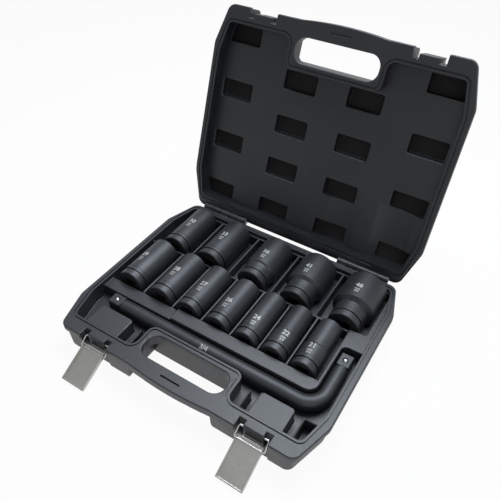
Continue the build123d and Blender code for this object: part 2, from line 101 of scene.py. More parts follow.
# %% White table
FLOOR_GLOW = 0.94
TABLE_HALF = 6.0
TABLE_DARK = (0.86, 0.86, 0.86, 1)
TABLE_LIGHT = (0.9, 0.9, 0.9, 1)
WHITE = (1, 1, 1, 1)


def new_material(name):
    """Empty node material with an output node."""
    material = bpy.data.materials.new(name)
    material.use_nodes = True
    tree = material.node_tree
    tree.nodes.clear()
    output = tree.nodes.new("ShaderNodeOutputMaterial")
    return material, tree, output


SEEN_BY = ("Is Camera Ray", "Is Glossy Ray", "Is Transmission Ray")


def any_ray(tree, path, kinds):
    """One for any of the named kinds of ray."""
    last = path.outputs[kinds[0]]
    for kind in kinds[1:]:
        either = tree.nodes.new("ShaderNodeMath")
        either.operation = "MAXIMUM"
        tree.links.new(last, either.inputs[0])
        tree.links.new(path.outputs[kind], either.inputs[1])
        last = either.outputs[0]
    return last


def table_material():
    """White table that glows for the camera and still shows shadows."""
    material, tree, output = new_material("white_table")
    lit = tree.nodes.new("ShaderNodeBsdfPrincipled")
    lit.inputs["Roughness"].default_value = 0.9
    lit.inputs["Specular IOR Level"].default_value = 0.0
    cloud = tree.nodes.new("ShaderNodeTexNoise")
    cloud.inputs["Scale"].default_value = 1.5
    tone = tree.nodes.new("ShaderNodeValToRGB")
    tone.color_ramp.elements[0].color = TABLE_DARK
    tone.color_ramp.elements[1].color = TABLE_LIGHT
    tree.links.new(cloud.outputs["Fac"], tone.inputs["Fac"])
    tree.links.new(tone.outputs["Color"], lit.inputs["Base Color"])
    glow = tree.nodes.new("ShaderNodeEmission")
    glow.inputs["Color"].default_value = WHITE
    path = tree.nodes.new("ShaderNodeLightPath")
    share = tree.nodes.new("ShaderNodeMath")
    share.operation = "MULTIPLY"
    share.inputs[1].default_value = FLOOR_GLOW
    mix = tree.nodes.new("ShaderNodeMixShader")
    tree.links.new(any_ray(tree, path, SEEN_BY), share.inputs[0])
    tree.links.new(share.outputs[0], mix.inputs["Fac"])
    tree.links.new(lit.outputs["BSDF"], mix.inputs[1])
    tree.links.new(glow.outputs["Emission"], mix.inputs[2])
    tree.links.new(mix.outputs["Shader"], output.inputs["Surface"])
    return material


def make_table():
    """Large flat table top, level with the case's underside."""
    mesh = bpy.data.meshes.new("table_top")
    corners = [(x * TABLE_HALF, y * TABLE_HALF, 0) for x, y in ((-1, -1), (1, -1), (1, 1), (-1, 1))]
    mesh.from_pydata(corners, [], [(0, 1, 2, 3)])
    table = bpy.data.objects.new("table_top", mesh)
    bpy.context.scene.collection.objects.link(table)
    table.data.materials.append(table_material())
    return table


table = make_table()
print("table", table.name, "reaches", TABLE_HALF, "m to each side")

# %% [markdown]
# The set stood in a white surround, open towards the camera, and the world copies that. A glossy surface
# mirrors a pale wall behind the set and a dimmer one in front. The camera itself sees the same white as the
# table's far end, so that no horizon shows from any side. As a lamp the world is a quiet grey.

# %% World around the set
WORLD_GREY = 0.14
WORLD_TINT = (0.94, 0.97, 1.0, 1)
BACKDROP_FRONT = 0.42
BACKDROP_BEHIND = 0.92


def make_world():
    """Soft grey room light, a pale surround for glossy rays and a white wall for the camera."""
    world = bpy.data.worlds.new("studio_world")
    bpy.context.scene.world = world
    world.use_nodes = True
    tree = world.node_tree
    tree.nodes.clear()
    output = tree.nodes.new("ShaderNodeOutputWorld")
    soft = tree.nodes.new("ShaderNodeBackground")
    soft.inputs["Color"].default_value = WORLD_TINT
    place = tree.nodes.new("ShaderNodeTexCoord")
    parts = tree.nodes.new("ShaderNodeSeparateXYZ")
    surround = tree.nodes.new("ShaderNodeMapRange")
    surround.inputs["From Min"].default_value = -1.0
    surround.inputs["To Min"].default_value = BACKDROP_FRONT
    surround.inputs["To Max"].default_value = BACKDROP_BEHIND
    path = tree.nodes.new("ShaderNodeLightPath")
    choice = tree.nodes.new("ShaderNodeMix")
    choice.inputs["A"].default_value = WORLD_GREY
    tree.links.new(place.outputs["Generated"], parts.inputs["Vector"])
    tree.links.new(parts.outputs["Y"], surround.inputs["Value"])
    tree.links.new(any_ray(tree, path, SEEN_BY), choice.inputs["Factor"])
    tree.links.new(surround.outputs["Result"], choice.inputs["B"])
    tree.links.new(choice.outputs["Result"], soft.inputs["Strength"])
    wall = tree.nodes.new("ShaderNodeBackground")
    wall.inputs["Color"].default_value = WHITE
    wall.inputs["Strength"].default_value = FLOOR_GLOW
    view = tree.nodes.new("ShaderNodeMixShader")
    tree.links.new(path.outputs["Is Camera Ray"], view.inputs["Fac"])
    tree.links.new(soft.outputs["Background"], view.inputs[1])
    tree.links.new(wall.outputs["Background"], view.inputs[2])
    tree.links.new(view.outputs["Shader"], output.inputs["Surface"])


make_world()
print("world", bpy.context.scene.world.name)

# %% [markdown]
# The light on the set is one large, slightly blue soft box, above the case and a little behind it. Seen
# from the front, level plastic then mirrors the lamp and looks blue-grey, while the lid, which faces the
# camera, stays nearly black; its plastic is also coloured darker, as painted shade. A weak, warmer fill
# from the camera's side opens the shadows.

# %% Lamps


def area_lamp(name, place, target, size, power, colour):
    """Rectangular soft box at a place, aimed at a target."""
    data = bpy.data.lights.new(name, "AREA")
    data.shape = "RECTANGLE"
    data.size, data.size_y = size
    data.energy = power
    data.color = colour
    lamp = bpy.data.objects.new(name, data)
    bpy.context.scene.collection.objects.link(lamp)
    direction = Vector(target) - Vector(place)
    lamp.location = place
    lamp.rotation_euler = direction.to_track_quat("-Z", "Y").to_euler()


area_lamp("overhead_box", place=(0.0, 0.45, 1.3), target=(0.0, 0.0, 0.05), size=(0.95, 0.8),
          power=19.0, colour=(0.86, 0.93, 1.0))
area_lamp("front_fill", place=(0.9, -1.1, 0.9), target=(0.0, 0.0, 0.1), size=(0.8, 0.8),
          power=3.0, colour=(1.0, 0.98, 0.96))

# %% [markdown]
# ## Shared surface effects
# Several finishes need the same small things: a fine grain, slow changes of tone, and thin scuffs. Each is
# a node group made once. A group gives only masks and heights; every material decides what to do with them.

# %% Node groups


def new_group(name, inputs, outputs):
    """Shader node group with float inputs and outputs."""
    group = bpy.data.node_groups.new(name, "ShaderNodeTree")
    for label, value in inputs:
        socket = group.interface.new_socket(label, in_out="INPUT", socket_type="NodeSocketFloat")
        socket.default_value = value
    for label in outputs:
        group.interface.new_socket(label, in_out="OUTPUT", socket_type="NodeSocketFloat")
    enter = group.nodes.new("NodeGroupInput")
    leave = group.nodes.new("NodeGroupOutput")
    return group, enter, leave


def grain_group():
    """Spark-eroded mould grain: small cells over a slower unevenness."""
    group, enter, leave = new_group("mould_grain", [("Scale", 900.0)], ["Height", "Tone"])
    place = group.nodes.new("ShaderNodeTexCoord")
    cells = group.nodes.new("ShaderNodeTexNoise")
    cells.inputs["Detail"].default_value = 3.0
    cells.inputs["Roughness"].default_value = 0.65
    slow = group.nodes.new("ShaderNodeTexNoise")
    slow.inputs["Scale"].default_value = 14.0
    slow.inputs["Detail"].default_value = 4.0
    group.links.new(place.outputs["Object"], cells.inputs["Vector"])
    group.links.new(place.outputs["Object"], slow.inputs["Vector"])
    group.links.new(enter.outputs["Scale"], cells.inputs["Scale"])
    group.links.new(cells.outputs["Fac"], leave.inputs["Height"])
    group.links.new(slow.outputs["Fac"], leave.inputs["Tone"])
    return group


def scuff_group():
    """Thin scratches that run every way, broken up by a patchy mask."""
    group, enter, leave = new_group("scuffs", [("Scale", 60.0), ("Amount", 0.5)], ["Mask"])
    place = group.nodes.new("ShaderNodeTexCoord")
    bend = group.nodes.new("ShaderNodeTexNoise")
    bend.inputs["Scale"].default_value = 25.0
    shift = group.nodes.new("ShaderNodeVectorMath")
    shift.operation = "MULTIPLY_ADD"
    shift.inputs[1].default_value = (0.03, 0.03, 0.03)
    lines = group.nodes.new("ShaderNodeTexVoronoi")
    lines.feature = "DISTANCE_TO_EDGE"
    thin = group.nodes.new("ShaderNodeMapRange")
    thin.inputs["From Min"].default_value = 0.0
    thin.inputs["From Max"].default_value = 0.02
    thin.inputs["To Min"].default_value = 1.0
    thin.inputs["To Max"].default_value = 0.0
    patch = group.nodes.new("ShaderNodeTexNoise")
    patch.inputs["Scale"].default_value = 30.0
    patch.inputs["Detail"].default_value = 5.0
    keep = group.nodes.new("ShaderNodeMapRange")
    keep.inputs["From Min"].default_value = 0.52
    keep.inputs["From Max"].default_value = 0.68
    both = group.nodes.new("ShaderNodeMath")
    both.operation = "MULTIPLY"
    scaled = group.nodes.new("ShaderNodeMath")
    scaled.operation = "MULTIPLY"
    group.links.new(place.outputs["Object"], bend.inputs["Vector"])
    group.links.new(bend.outputs["Color"], shift.inputs[0])
    group.links.new(place.outputs["Object"], shift.inputs[2])
    group.links.new(shift.outputs["Vector"], lines.inputs["Vector"])
    group.links.new(enter.outputs["Scale"], lines.inputs["Scale"])
    group.links.new(lines.outputs["Distance"], thin.inputs["Value"])
    group.links.new(place.outputs["Object"], patch.inputs["Vector"])
    group.links.new(patch.outputs["Fac"], keep.inputs["Value"])
    group.links.new(thin.outputs["Result"], both.inputs[0])
    group.links.new(keep.outputs["Result"], both.inputs[1])
    group.links.new(both.outputs[0], scaled.inputs[0])
    group.links.new(enter.outputs["Amount"], scaled.inputs[1])
    group.links.new(scaled.outputs[0], leave.inputs["Mask"])
    return group


GRAIN = grain_group()
SCUFFS = scuff_group()
print("groups", [g.name for g in bpy.data.node_groups])

# %% [markdown]
# ## Finishes
# The case is dark polyolefin, the sockets and the handle are black steel, and the latches, pins and balls
# are bright. Every finish is a Principled shader fed by the shared groups, so a few helpers that place a
# group, a ramp, a range, a mix or a bump keep the materials short.

# %% Helpers for materials


def place_group(tree, group, **values):
    """Group node in a material with its inputs set."""
    node = tree.nodes.new("ShaderNodeGroup")
    node.node_tree = group
    for label, value in values.items():
        node.inputs[label].default_value = value
    return node


def ramp(tree, source, low, high, start=0.3, stop=0.7):
    """Colour ramp between two colours."""
    node = tree.nodes.new("ShaderNodeValToRGB")
    node.color_ramp.elements[0].position = start
    node.color_ramp.elements[1].position = stop
    node.color_ramp.elements[0].color = (*low, 1)
    node.color_ramp.elements[1].color = (*high, 1)
    tree.links.new(source, node.inputs["Fac"])
    return node.outputs["Color"]


def spread(tree, source, low, high, start=0.0, stop=1.0):
    """Value remapped from one range to another."""
    node = tree.nodes.new("ShaderNodeMapRange")
    node.inputs["From Min"].default_value = start
    node.inputs["From Max"].default_value = stop
    node.inputs["To Min"].default_value = low
    node.inputs["To Max"].default_value = high
    tree.links.new(source, node.inputs["Value"])
    return node.outputs["Result"]


def blend_colour(tree, mask, below, above):
    """Mix a colour over another by a mask."""
    node = tree.nodes.new("ShaderNodeMix")
    node.data_type = "RGBA"
    tree.links.new(mask, node.inputs["Factor"])
    tree.links.new(below, node.inputs["A"])
    node.inputs["B"].default_value = (*above, 1)
    return node.outputs["Result"]


def bumped(tree, height, strength, distance):
    """Normal from a height."""
    node = tree.nodes.new("ShaderNodeBump")
    node.inputs["Strength"].default_value = strength
    node.inputs["Distance"].default_value = distance
    tree.links.new(height, node.inputs["Height"])
    return node.outputs["Normal"]


finishes = {}
print("helpers ready,", len(bpy.data.node_groups), "groups to place")

# %% [markdown]
# The plastic has a spark-eroded grain: matt, a little blue, scuffed along its handling surfaces. The floors
# of the lid's pits get painted shade, nearly black, and a duller finish. They are found by their depth in
# the open lid and by the way they face, so that one material serves the whole lid.

# %% Moulded plastic
PLASTIC_SCUFF = (0.09, 0.093, 0.1)
# Direction into the open lid, and how far along it the floors of the pits lie from the origin.
LID_INWARD = Vector((0.0, 0.9455, -0.3256))
PIT_FLOOR = 173.96 * MM
# Painted shade: the pit floors are coloured nearly black, standing in for the shade deep in the lid's pits.
PIT_PAINTED_SHADE = (0.003, 0.003, 0.0034)
PIT_DULLER = 0.45


def pit_floors(tree):
    """Mask for the painted shade: one on the floors of the lid's pits, deep in the open lid and facing the
    tray.
    """
    place = tree.nodes.new("ShaderNodeTexCoord")
    depth = tree.nodes.new("ShaderNodeVectorMath")
    depth.operation = "DOT_PRODUCT"
    depth.inputs[1].default_value = LID_INWARD
    facing = tree.nodes.new("ShaderNodeVectorMath")
    facing.operation = "DOT_PRODUCT"
    facing.inputs[1].default_value = -LID_INWARD
    both = tree.nodes.new("ShaderNodeMath")
    both.operation = "MULTIPLY"
    tree.links.new(place.outputs["Object"], depth.inputs[0])
    tree.links.new(place.outputs["Normal"], facing.inputs[0])
    deep = spread(tree, depth.outputs["Value"], 0, 1, start=PIT_FLOOR - 3 * MM, stop=PIT_FLOOR - MM)
    level = spread(tree, facing.outputs["Value"], 0, 1, start=0.5, stop=0.9)
    tree.links.new(deep, both.inputs[0])
    tree.links.new(level, both.inputs[1])
    return both.outputs[0]


def moulded_plastic(name, dark, light, scuff_amount, gloss, shade_and_dull=None):
    """Grained dark plastic with a few pale scuffs; gloss is its specular level, and the mask function, if
    given, paints shade on its places and makes them duller.
    """
    material, tree, output = new_material(name)
    shader = tree.nodes.new("ShaderNodeBsdfPrincipled")
    shader.inputs["Specular IOR Level"].default_value = gloss
    grain = place_group(tree, GRAIN, Scale=1100.0)
    scuffs = place_group(tree, SCUFFS, Scale=45.0, Amount=scuff_amount)
    colour = ramp(tree, grain.outputs["Tone"], dark, light)
    colour = blend_colour(tree, scuffs.outputs["Mask"], colour, PLASTIC_SCUFF)
    rough = spread(tree, grain.outputs["Height"], 0.36, 0.5, start=0.3, stop=0.7)
    if shade_and_dull:
        mask = shade_and_dull(tree)
        # Painted shade: where the mask is one, the colour goes nearly black and the roughness rises.
        colour = blend_colour(tree, mask, colour, PIT_PAINTED_SHADE)
        duller = tree.nodes.new("ShaderNodeMath")
        duller.operation = "MULTIPLY_ADD"
        duller.inputs[1].default_value = PIT_DULLER
        tree.links.new(mask, duller.inputs[0])
        tree.links.new(rough, duller.inputs[2])
        rough = duller.outputs[0]
    normal = bumped(tree, grain.outputs["Height"], strength=0.25, distance=0.0002)
    tree.links.new(colour, shader.inputs["Base Color"])
    tree.links.new(rough, shader.inputs["Roughness"])
    tree.links.new(normal, shader.inputs["Normal"])
    tree.links.new(shader.outputs["BSDF"], output.inputs["Surface"])
    return material


finishes["case_base"] = moulded_plastic(
    "base_plastic", dark=(0.0195, 0.021, 0.0255), light=(0.029, 0.0312, 0.037),
    scuff_amount=0.3, gloss=0.55)
# The lid is the same plastic as the base, coloured darker: painted shade for the lid, which faces the camera
# and away from the lamp.
finishes["case_lid"] = moulded_plastic(
    "lid_plastic_painted_shade", dark=(0.0135, 0.0145, 0.0175), light=(0.0195, 0.021, 0.0245),
    scuff_amount=0.15, gloss=0.55, shade_and_dull=pit_floors)
print("plastic", [material.name for material in finishes.values()])

# %% [markdown]
# The sockets and the handle are steel with a black conversion coat. It is smoother than the plastic, with a
# satin sheen, a faint mottle and a few bare scratches.

# %% Black coated steel
STEEL_SCUFF = (0.16, 0.16, 0.165)


def coated_steel(name, dark, light, rough_low, rough_high):
    """Steel under a black conversion coat, satin, faintly mottled."""
    material, tree, output = new_material(name)
    shader = tree.nodes.new("ShaderNodeBsdfPrincipled")
    shader.inputs["Metallic"].default_value = 0.7
    grain = place_group(tree, GRAIN, Scale=700.0)
    scuffs = place_group(tree, SCUFFS, Scale=80.0, Amount=0.35)
    colour = ramp(tree, grain.outputs["Tone"], dark, light)
    colour = blend_colour(tree, scuffs.outputs["Mask"], colour, STEEL_SCUFF)
    rough = spread(tree, grain.outputs["Height"], rough_low, rough_high, start=0.3, stop=0.7)
    normal = bumped(tree, grain.outputs["Height"], strength=0.08, distance=0.0001)
    tree.links.new(colour, shader.inputs["Base Color"])
    tree.links.new(rough, shader.inputs["Roughness"])
    tree.links.new(normal, shader.inputs["Normal"])
    tree.links.new(shader.outputs["BSDF"], output.inputs["Surface"])
    return material


finishes["socket_steel"] = coated_steel(
    "black_socket_steel", dark=(0.045, 0.046, 0.05), light=(0.066, 0.068, 0.074),
    rough_low=0.4, rough_high=0.52)
finishes["handle_steel"] = coated_steel(
    "black_handle_steel", dark=(0.04, 0.041, 0.045), light=(0.06, 0.062, 0.068),
    rough_low=0.42, rough_high=0.55)
print("black steel", finishes["socket_steel"].name, finishes["handle_steel"].name)

# %% [markdown]
# The latches are pressed from nickel-plated sheet and hang on plated wire. Pins and springs are plain drawn
# steel, and the detent balls are polished bearing steel. They differ in tone, roughness and the size of
# their unevenness.

# %% Bright metal
PLATE_SCUFF = (0.36, 0.35, 0.33)


def bright_metal(name, dark, light, rough_low, rough_high, grain_scale):
    """Plated or polished bare metal with a fine unevenness."""
    material, tree, output = new_material(name)
    shader = tree.nodes.new("ShaderNodeBsdfPrincipled")
    shader.inputs["Metallic"].default_value = 1.0
    grain = place_group(tree, GRAIN, Scale=grain_scale)
    scuffs = place_group(tree, SCUFFS, Scale=120.0, Amount=0.3)
    colour = ramp(tree, grain.outputs["Tone"], dark, light)
    colour = blend_colour(tree, scuffs.outputs["Mask"], colour, PLATE_SCUFF)
    rough = spread(tree, grain.outputs["Height"], rough_low, rough_high, start=0.3, stop=0.7)
    normal = bumped(tree, grain.outputs["Height"], strength=0.06, distance=0.0001)
    tree.links.new(colour, shader.inputs["Base Color"])
    tree.links.new(rough, shader.inputs["Roughness"])
    tree.links.new(normal, shader.inputs["Normal"])
    tree.links.new(shader.outputs["BSDF"], output.inputs["Surface"])
    return material


finishes["latch_steel"] = bright_metal(
    "plated_sheet", dark=(0.43, 0.418, 0.395), light=(0.54, 0.527, 0.5),
    rough_low=0.3, rough_high=0.42, grain_scale=260.0)
finishes["wire_steel"] = bright_metal(
    "plated_wire", dark=(0.5, 0.49, 0.47), light=(0.62, 0.61, 0.59),
    rough_low=0.25, rough_high=0.38, grain_scale=500.0)
finishes["pin_steel"] = bright_metal(
    "pin_steel", dark=(0.4, 0.4, 0.4), light=(0.5, 0.5, 0.5),
    rough_low=0.3, rough_high=0.45, grain_scale=500.0)
finishes["ball_steel"] = bright_metal(
    "bearing_steel", dark=(0.7, 0.7, 0.71), light=(0.78, 0.78, 0.79),
    rough_low=0.12, rough_high=0.2, grain_scale=300.0)
finishes["spring_steel"] = bright_metal(
    "spring_steel", dark=(0.4, 0.4, 0.41), light=(0.5, 0.5, 0.51),
    rough_low=0.35, rough_high=0.5, grain_scale=500.0)
print("finishes", sorted(finishes))

# %% A finish for every node
slot_of = {part["node"]: part["material_slot"] for part in frame["record"]["subparts"]}
for name, node in nodes.items():
    node.data.materials.clear()
    node.data.materials.append(finishes[slot_of[name]])
print("dressed", len(nodes), "nodes")

# %% [markdown]
# ## Rounded edges
# No real moulding or pressing has a knife edge: a mould cutter leaves a small radius and plating softens a
# cut edge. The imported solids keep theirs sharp, so each shell, socket, bar and lever is replaced here by a
# copy of its own mesh with narrow rounded edges that catch the light. A bevel on the raw triangles fails,
# because its points slide along the long thin ones, so doubled points are merged and flat triangles joined
# first. Only edges that turn by more than a set angle are rounded, which leaves curved walls alone. Where
# sharp edges meet in a very narrow corner a bevel would shoot far out, so those few stay as they are.

# %% Sharp edges that can be rounded
SHARP_TURN = math.radians(35.0)
NARROW_CORNER = math.radians(50.0)


def corner_fans(point, sharp):
    """Neighbouring sharp edges round a point, with the angle of the surface between them."""
    first = start = next(edge for edge in point.link_edges if edge in sharp)
    loop = next(corner for corner in start.link_loops if corner.vert == point)
    fans, total = [], 0.0
    for _ in point.link_edges:
        total += loop.calc_angle()
        before = loop.link_loop_prev
        if before.edge in sharp:
            fans.append((first, before.edge, total))
            first, total = before.edge, 0.0
        loop = before.link_loop_radial_next
    return fans


def roundable_edges(work):
    """Sharp edges of a mesh, less those that meet in a narrow corner."""
    sharp = {edge for edge in work.edges if edge.calc_face_angle(0.0) > SHARP_TURN}
    while True:
        narrow = set()
        for point in work.verts:
            if sum(edge in sharp for edge in point.link_edges) > 1:
                for one, other, angle in corner_fans(point, sharp):
                    if one != other and angle < NARROW_CORNER:
                        narrow |= {one, other}
        if not narrow:
            return sharp
        sharp -= narrow


def edge_chains(work, sharp):
    """For each sharp edge, the run of sharp edges that it belongs to, from corner to corner."""
    chain_of = {}
    for edge in work.edges:
        if edge in sharp and edge not in chain_of:
            chain, queue = [], [edge]
            chain_of[edge] = chain
            while queue:
                here = queue.pop()
                chain.append(here.index)
                for point in here.verts:
                    beside = [other for other in point.link_edges if other in sharp]
                    for there in beside if len(beside) == 2 else ():
                        if there not in chain_of:
                            chain_of[there] = chain
                            queue.append(there)
    return {edge.index: chain for edge, chain in chain_of.items()}


print("edges that turn by more than", round(math.degrees(SHARP_TURN)), "degrees can be rounded")

# %% [markdown]
# A rib only a millimetre thick has no room for two full roundings. The faces are grouped into flats, and
# where two sharp edges face each other across a flat, both get a little under half of the gap as their
# width.

# %% Flats, and the room between facing edges
SAME_PLANE = 0.002 * MM
TINY = 1e-18
ROOM_REACH = 2.3
ROOM_SHARE = 0.45
FACING = -0.2


def flat_groups(work):
    """Groups of touching faces that lie in one plane."""
    seen, groups = set(), []
    for face in work.faces:
        if face in seen:
            continue
        seen.add(face)
        group, queue = [], [face]
        while queue:
            here = queue.pop()
            group.append(here)
            for there in (other for edge in here.edges for other in edge.link_faces):
                heights = [(v.co - face.verts[0].co).dot(face.normal) for v in there.verts]
                level = all(abs(height) < SAME_PLANE for height in heights)
                if there not in seen and level and there.normal.dot(face.normal) > 0:
                    seen.add(there)
                    queue.append(there)
        groups.append(group)
    return groups


def to_line(p, q, r):
    """Distance of a point from a straight piece."""
    along = r - q
    share = (p - q).dot(along) / max(along.length_squared, TINY)
    return (p - q - min(max(share, 0.0), 1.0) * along).length


def edge_rooms(groups, sharp, width):
    """Width for each sharp edge: the full one, or less where another sharp edge faces it."""
    room = {edge: width for edge in sharp}
    for group in groups:
        rim = []
        for loop in (corner for face in group for corner in face.loops if corner.edge in sharp):
            a, b = loop.vert.co, loop.link_loop_next.vert.co
            rim.append((loop.edge, a, b, loop.face.normal.cross(b - a).normalized()))
        rim.sort(key=lambda side: min(side[1].x, side[2].x))
        for index, (one, a, b, inward) in enumerate(rim):
            for other, c, d, facing in rim[index + 1:]:
                if min(c.x, d.x) - max(a.x, b.x) > ROOM_REACH * width:
                    break
                ahead = max((c - a).dot(inward), (d - a).dot(inward)) > 0
                if ahead and inward.dot(facing) < FACING and not set(one.verts) & set(other.verts):
                    gap = min(to_line(a, c, d), to_line(b, c, d), to_line(c, a, b), to_line(d, a, b))
                    room[one] = min(room[one], ROOM_SHARE * gap)
                    room[other] = min(room[other], ROOM_SHARE * gap)
    return room


print("two facing edges get", ROOM_SHARE, "of their gap each")

# %% [markdown]
# The bevel leaves each flat as polygons with many corners, some of them torn where two roundings run into
# each other. So every flat is filled again from its rim alone: a Delaunay fill in the plane makes
# triangles, and the winding of the rim round each triangle's middle says whether it belongs. Places where a
# rim crosses itself or the surface folds over are collected as faults.

# %% Fill the flats of a bevelled mesh again
FOLDED = math.radians(140.0)
MERGE_CUT = 0.001 * MM
INSIDE_ONLY = 1
FILL_TOLERANCE = 1e-7


def inside(spots, starts, ends):
    """For each spot, whether a rim of straight sides turns round it."""
    x, y = spots[:, :1], spots[:, 1:]
    along = ends - starts
    left = along[:, 0] * (y - starts[:, 1]) - (x - starts[:, 0]) * along[:, 1]
    rising = (starts[:, 1] <= y) & (y < ends[:, 1]) & (left > 0)
    falling = (ends[:, 1] <= y) & (y < starts[:, 1]) & (left < 0)
    return rising.sum(axis=1) > falling.sum(axis=1)


def fill_flat(faces, normal, origin):
    """Triangles that fill a flat from its rim, and the points where the rim crosses itself."""
    members = set(faces)
    side = normal.orthogonal().normalized()
    over = normal.cross(side)
    loops = (corner for face in faces for corner in face.loops)
    rim = [(loop.vert, loop.link_loop_next.vert) for loop in loops
           if sum(face in members for face in loop.edge.link_faces) == 1]
    points = list(dict.fromkeys(point for pair in rim for point in pair))
    place = {point: index for index, point in enumerate(points)}
    flat = [Vector(((v.co - origin).dot(side), (v.co - origin).dot(over))) for v in points]
    lines = [(place[a], place[b]) for a, b in rim]
    spots, _, triangles, sources, _, _ = delaunay_2d_cdt(flat, lines, [], INSIDE_ONLY, FILL_TOLERANCE)
    crossings = [origin + side * spot.x + over * spot.y
                 for spot, source in zip(spots, sources) if len(source) != 1]
    rim_points, corners = np.array(flat), np.array(spots)[np.array(triangles)]
    starts, ends = rim_points[[i for i, _ in lines]], rim_points[[j for _, j in lines]]
    fill = []
    for triangle, kept in zip(triangles, inside(corners.mean(axis=1), starts, ends)):
        if kept and all(sources[i] for i in triangle):
            p, q, r = (spots[i] for i in triangle)
            ring = [points[sources[i][0]] for i in triangle]
            fill.append(ring if (q - p).cross(r - p) > 0 else ring[::-1])
    return fill, crossings


def refilled(mesh, planes):
    """Bevelled mesh with its flats filled again, and the places of its faults."""
    work = bmesh.new()
    work.from_mesh(mesh)
    bmesh.ops.remove_doubles(work, verts=work.verts, dist=MERGE_CUT)
    number = work.faces.layers.int.get("flat")
    flats = {}
    for face in work.faces:
        if face.material_index == 0 and face[number] in planes:
            flats.setdefault(face[number], []).append(face)
    rings, faults = [], []
    for key, faces in flats.items():
        fill, crossings = fill_flat(faces, *planes[key])
        rings += fill
        faults += crossings
    bmesh.ops.delete(work, geom=[face for faces in flats.values() for face in faces], context="FACES_ONLY")
    for ring in rings:
        if not work.faces.get(ring):
            work.faces.new(ring)
    bmesh.ops.delete(work, geom=[edge for edge in work.edges if not edge.link_faces], context="EDGES")
    for edge in work.edges:
        if len(edge.link_faces) != 2 or edge.calc_face_angle(0.0) > FOLDED:
            a, b = (point.co.copy() for point in edge.verts)
            faults += [a, (a + b) / 2, b]
    return work, faults


print("a turn of more than", round(math.degrees(FOLDED)), "degrees counts as a fold")

# %% [markdown]
# The bevel runs, its faults are found, and the edges beside them are first given half the width and then
# left sharp, until none is left to change. A short run of edges, or one that is left sharp, is changed as a
# whole, so that a rounding doesn't stop midway. What stays sharp is marked so, and a weighted-normal pass
# keeps the flats flat beside the roundings.

# %% Mesh of a node, made ready for the bevel
MERGE_RAW = 0.002 * MM
NEARLY_FLAT = math.radians(0.6)
QUAD_CORNERS = 4


def add_object(name, data):
    """Object for a mesh or a text, in the scene."""
    piece = bpy.data.objects.new(name, data)
    bpy.context.scene.collection.objects.link(piece)
    return piece


def baked(piece):
    """Mesh of a piece with its modifiers applied."""
    graph = bpy.context.evaluated_depsgraph_get()
    return bpy.data.meshes.new_from_object(piece.evaluated_get(graph))


def prepared(node_name, width):
    """Merged mesh of a node with a width on each roundable edge, its chains and its flats' planes."""
    work = bmesh.new()
    work.from_mesh(nodes[node_name].data)
    bmesh.ops.remove_doubles(work, verts=work.verts, dist=MERGE_RAW)
    bmesh.ops.dissolve_limit(work, angle_limit=NEARLY_FLAT, verts=work.verts, edges=work.edges)
    share = work.edges.layers.float.new("bevel_weight_edge")
    number = work.faces.layers.int.new("flat")
    work.edges.index_update()
    sharp = roundable_edges(work)
    chains = edge_chains(work, sharp)
    groups = flat_groups(work)
    planes = {}
    for index, group in enumerate(groups):
        for face in group:
            face[number] = index
        if sum(len(face.verts) for face in group) > QUAD_CORNERS:
            planes[index] = (group[0].normal.copy(), group[0].verts[0].co.copy())
    for edge, room in edge_rooms(groups, sharp, width).items():
        edge[share] = room / width
    mesh = bpy.data.meshes.new(node_name + "_rounded")
    work.to_mesh(mesh)
    work.free()
    return mesh, chains, planes


print("points closer than", round(1000 * MERGE_RAW / MM), "thousandths of a millimetre are merged")

# %% Ease the edges beside faults
SHORT_CHAIN = 40.0 * MM
FAULT_REACH = 4.0 * MM


def eased(mesh, chains, faults, near, factor):
    """Narrow the edges beside faults; says how many were changed."""
    share = mesh.attributes["bevel_weight_edge"].data
    live = [index for index in chains if share[index].value > 0]
    ends = np.array([[mesh.vertices[v].co[:] for v in mesh.edges[index].vertices] for index in live])
    if not live:
        return 0
    start, along = ends[:, 0], ends[:, 1] - ends[:, 0]
    length = np.linalg.norm(along, axis=1)
    length_of = dict(zip(live, length))
    change = set()
    for fault in faults:
        away = np.array(fault) - start
        part = np.clip((away * along).sum(axis=1) / np.maximum(length ** 2, TINY), 0.0, 1.0)
        gap = np.linalg.norm(away - part[:, None] * along, axis=1)
        for hit in np.flatnonzero(gap < near):
            chain = chains[live[hit]]
            if factor == 0 or sum(length_of.get(index, 0.0) for index in chain) < SHORT_CHAIN:
                change.update(index for index in chain if index in length_of)
            else:
                change.update(live[k] for k in np.flatnonzero(gap < FAULT_REACH) if live[k] in chain)
    for index in change:
        share[index].value *= factor
    return len(change)


print("runs under", round(SHORT_CHAIN / MM), "mm are changed as a whole")

# %% A copy of a node with rounded edges
FAULT_NEAR = 1.3
TRIES = 9
HALVINGS = 2
bodies = frame["record"]["behaviour"]["bodies"]
body_of = {node: body for body, members in bodies.items() for node in members}


